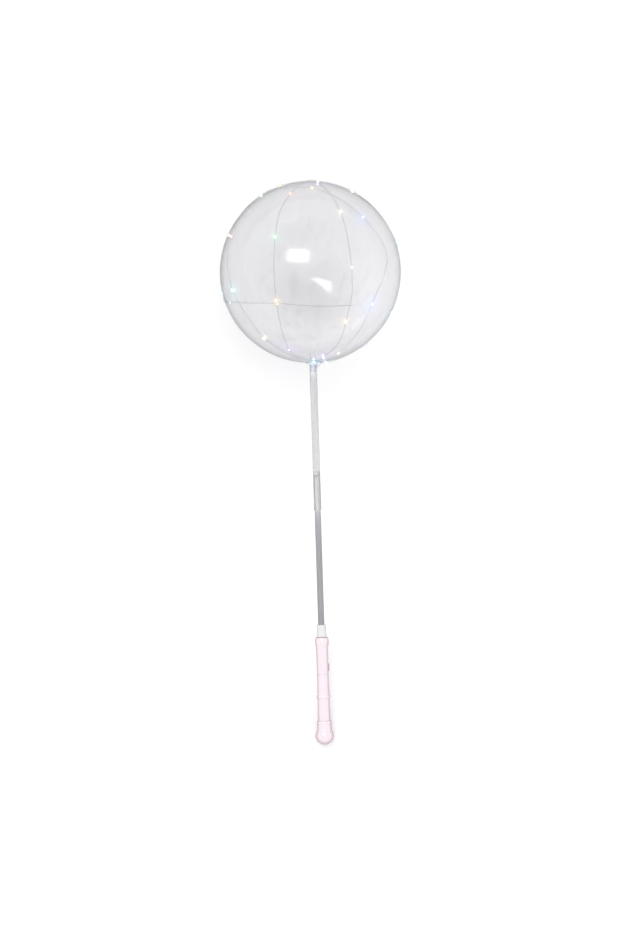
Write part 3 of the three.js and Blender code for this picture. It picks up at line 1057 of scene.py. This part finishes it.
def lamp_drop(centre, direction):
    """Points and faces of one resin drop on the wire, a little fuller at one end."""
    outline = [
        (0, -LAMP_HALF),
        (0.7, -LAMP_HALF + 0.15),
        (1.1, -LAMP_HALF + 0.8),
        (1.55, -LAMP_HALF + 1.6),
        (LAMP_RADIUS, -0.3),
        (LAMP_RADIUS, 0.6),
        (1.45, LAMP_HALF - 1.2),
        (0.95, LAMP_HALF - 0.6),
        (0.65, LAMP_HALF - 0.12),
        (0, LAMP_HALF),
    ]
    points, faces = turned(outline, 18)
    turn = Vector((0, 1, 0)).rotation_difference(direction)
    return [turn @ Vector(point) + centre for point in points], faces


def make_string(path, lamps):
    points, faces = twisted_pair(even_steps(path, 1.0))
    piece("twisted_wire", points, faces, WIRE, ["light_string"])
    for number, (centre, direction, colour) in enumerate(lamps, 1):
        points, faces = lamp_drop(centre, direction)
        title = f"{number:02d}_{colour}"
        stands_for = ["led_bead_" + title]
        drop = piece("lamp_" + title, points, faces, RESIN[colour], stands_for, crease=60)
        lit = drop.data.attributes.new("lit", "FLOAT", "POINT")
        lit.data.foreach_set("value", [0.1 if number in RESTING_LAMPS else 1.0] * len(points))


# Floor and light

def seen_by_reflection(tree):
    """One where a reflection looks at this, and zero where it is seen plainly or through something clear."""
    path = add(tree, "ShaderNodeLightPath").outputs
    return maths(tree, "SUBTRACT", path["Is Glossy Ray"], path["Is Transmission Ray"], use_clamp=True)


def make_floor():
    """A wide, plain floor with painted light under the ball, palest there; a reflection sees it greyer, as it
    would a darker room.
    """
    half = 20
    corners = [(-half, -half, 0), (half, -half, 0), (half, half, 0), (-half, half, 0)]
    mesh = bpy.data.meshes.new("floor")
    mesh.from_pydata(corners, [], [(0, 1, 2, 3)])
    material, tree, surface = finish("pale_floor", {"Roughness": 0.9, "Specular IOR Level": 0.0})
    place = own_place(tree)
    tone = blend(tree, noise(tree, place, 3.0, 3.0), (0.93, 0.93, 0.935, 1.0), (0.95, 0.95, 0.95, 1.0))
    from_ball = vectors(tree, "SUBTRACT", place, in_place((0, 0, 0))).outputs[0]
    ball_reach = vectors(tree, "LENGTH", from_ball).outputs["Value"]
    # Painted light: the floor is whitened round the ball, as a reflector would light it there.
    under = ranged(tree, ball_reach, 0.205, 0.165, interpolation_type="SMOOTHSTEP")
    tree.links.new(blend(tree, under, tone, (1.0, 1.0, 1.0, 1.0)), surface.inputs["Base Color"])

    # A reflection sees it lighter towards the ball's lower right, and darkest round the handle
    sideways = vectors(tree, "DOT_PRODUCT", from_ball, (0.75, -0.65, 0)).outputs["Value"]
    across = ranged(tree, sideways, -0.3, 0.3, 0.5)
    handle_reach = vectors(tree, "DISTANCE", place, in_place((0, RIB_LEVEL, 0))).outputs["Value"]
    lighter = maths(tree, "MULTIPLY", across, ranged(tree, handle_reach, 0.3, 0.6))
    dim = blend(tree, lighter, (0.14, 0.12, 0.13, 1.0), (0.58, 0.58, 0.6, 1.0))
    dark = add(tree, "ShaderNodeBsdfDiffuse", {"Color": dim})
    either = add(
        tree,
        "ShaderNodeMixShader",
        {0: seen_by_reflection(tree), 1: surface.outputs["BSDF"], 2: dark.outputs["BSDF"]},
    )
    tree.links.new(either.outputs[0], tree.nodes["Material Output"].inputs["Surface"])
    mesh.materials.append(material)
    floor = bpy.data.objects.new("floor", mesh)
    bpy.context.scene.collection.objects.link(floor)


def softbox(name, side, rise, distance, width, height, power):
    """A light aimed at the balloon, fading towards its rim.

    Side and rise are degrees from the camera, the sizes and distance are metres, and the power is watts.
    """
    light = bpy.data.lights.new(name, "AREA")
    light.shape = "RECTANGLE"
    light.size = width
    light.size_y = height
    light.energy = power
    light.use_nodes = True
    tree = light.node_tree
    place = add(tree, "ShaderNodeNewGeometry").outputs["Parametric"]
    from_middle = vectors(tree, "SUBTRACT", place, (0.5, 0.5, 0)).outputs[0]
    parts = add(tree, "ShaderNodeSeparateXYZ", {"Vector": from_middle}).outputs
    fades = [
        ranged(tree, maths(tree, "ABSOLUTE", parts[axis]), 0.5, 0.2, interpolation_type="SMOOTHSTEP")
        for axis in ("X", "Y")
    ]
    tree.links.new(maths(tree, "MULTIPLY", *fades), tree.nodes["Emission"].inputs["Strength"])
    made = bpy.data.objects.new(name, light)
    bpy.context.scene.collection.objects.link(made)
    look_up = Matrix.Rotation(math.atan2(-AIM[1], CAMERA_DISTANCE), 3, "X")
    view = look_up @ Matrix.Rotation(math.radians(-ROLL), 3, "Z")
    lean = Matrix.Rotation(math.radians(side), 3, "Y") @ Matrix.Rotation(math.radians(-rise), 3, "X")
    turn = WAND.to_3x3() @ view @ lean
    stand = in_place((0, 0, 0)) + turn @ Vector((0, 0, distance))
    made.matrix_world = Matrix.Translation(stand) @ turn.to_4x4()


def set_light():
    """An even white surround, a softbox over the camera's left shoulder, and a faint broad window."""
    world = bpy.data.worlds.new("surround")
    world.use_nodes = True
    tree = world.node_tree
    back = tree.nodes["Background"]
    tone = blend(tree, seen_by_reflection(tree), (1.0, 1.0, 1.0, 1.0), (0.66, 0.67, 0.69, 1.0))
    tree.links.new(tone, back.inputs["Color"])
    back.inputs["Strength"].default_value = 1.12
    bpy.context.scene.world = world
    softbox("softbox", -15.5, 19.8, 2.2, 1.35, 0.8, 14)
    softbox("window", -1.5, 6, 2.6, 2.2, 2.6, 4)


def set_look():
    """Plain tones, and a little glow round the lamps."""
    scene = bpy.context.scene
    scene.view_settings.view_transform = "Standard"
    scene.view_settings.look = "None"
    scene.use_nodes = True
    tree = scene.node_tree
    tree.nodes.clear()
    picture = tree.nodes.new("CompositorNodeRLayers")
    glare = tree.nodes.new("CompositorNodeGlare")
    glare.glare_type = "FOG_GLOW"
    glare.quality = "HIGH"
    result = tree.nodes.new("CompositorNodeComposite")
    tree.links.new(picture.outputs["Image"], glare.inputs["Image"])
    tree.links.new(glare.outputs["Image"], result.inputs["Image"])
    for name, value in (("Threshold", 1.6), ("Size", 0.12), ("Strength", 0.12)):
        if name in glare.inputs:
            glare.inputs[name].default_value = value


set_camera()
string_path, string_lamps = lay_string()
HANDLING_MARKS = handling_marks()
STRETCH_MARKS = stretch_marks()
LAMP_GLOW = lamp_glow()
LIT_LAMPS = [
    (in_place(centre), colour)
    for number, (centre, _, colour) in enumerate(string_lamps, 1)
    if number not in RESTING_LAMPS
]
NECK_LAMPS = [lamp for lamp in LIT_LAMPS if (lamp[0] - in_place((0, NECK_END, 0))).length < 0.04]
FILM = clear_film(LIT_LAMPS)
UPPER_CLEAR = clear_tube(
    "clear_upper_tube",
    UPPER_TUBE,
    [
        (UPPER_TUBE["bottom"], (0.95, 0.95, 0.955)),
        (-380, (0.95, 0.95, 0.955)),
        (-366, (0.85, 0.852, 0.86)),
        (-195, (0.85, 0.852, 0.86)),
        # Painted light: the wall is lighter at the top, for the lamp-lit plug seen through it.
        (-184, (0.97, 0.97, 0.975)),
    ],
    0.16,
)
LOWER_CLEAR = clear_tube(
    "clear_lower_tube",
    LOWER_TUBE,
    [
        (LOWER_TUBE["bottom"], (0.62, 0.625, 0.64)),
        (-480, (0.65, 0.655, 0.67)),
        (-444, (0.74, 0.745, 0.76)),
        (-434, (1.0, 1.0, 1.0)),
    ],
    0.32,
)
WHITE = moulded_plastic(
    "white_plastic",
    (0.74, 0.72, 0.73),
    (0.69, 0.67, 0.68),
    0.25,
    {"Coat Weight": 0.8, "Coat IOR": 1.7, "Emission Strength": 7.0},
    NECK_LAMPS,
)
PINK = moulded_plastic(
    "pink_plastic",
    (0.91, 0.76, 0.825),
    (0.87, 0.7, 0.765),
    0.14,
    {
        "Coat Weight": 1.0,
        "Coat IOR": 3.0,
        "Coat Roughness": 0.1,
        "Subsurface Weight": 0.15,
        "Subsurface Scale": 0.004,
    },
)
ROSE = moulded_plastic(
    "rose_button",
    (0.55, 0.34, 0.4),
    (0.5, 0.3, 0.36),
    0.3,
    {"Coat Weight": 0.3},
)
RUBBER = moulded_plastic(
    "grey_rubber",
    (0.93, 0.93, 0.94),
    (0.88, 0.88, 0.88),
    0.55,
    {"Specular IOR Level": 0.3},
)
WIRE = lacquered_wire()
RESIN = {colour: lit_resin(colour) for colour in LAMP_LIGHT}

make_balloon()
make_cup()
make_stick()
make_collar()
make_grip()
make_button()
make_barrel()
make_cap()
make_string(string_path, string_lamps)
make_floor()
set_light()
set_look()
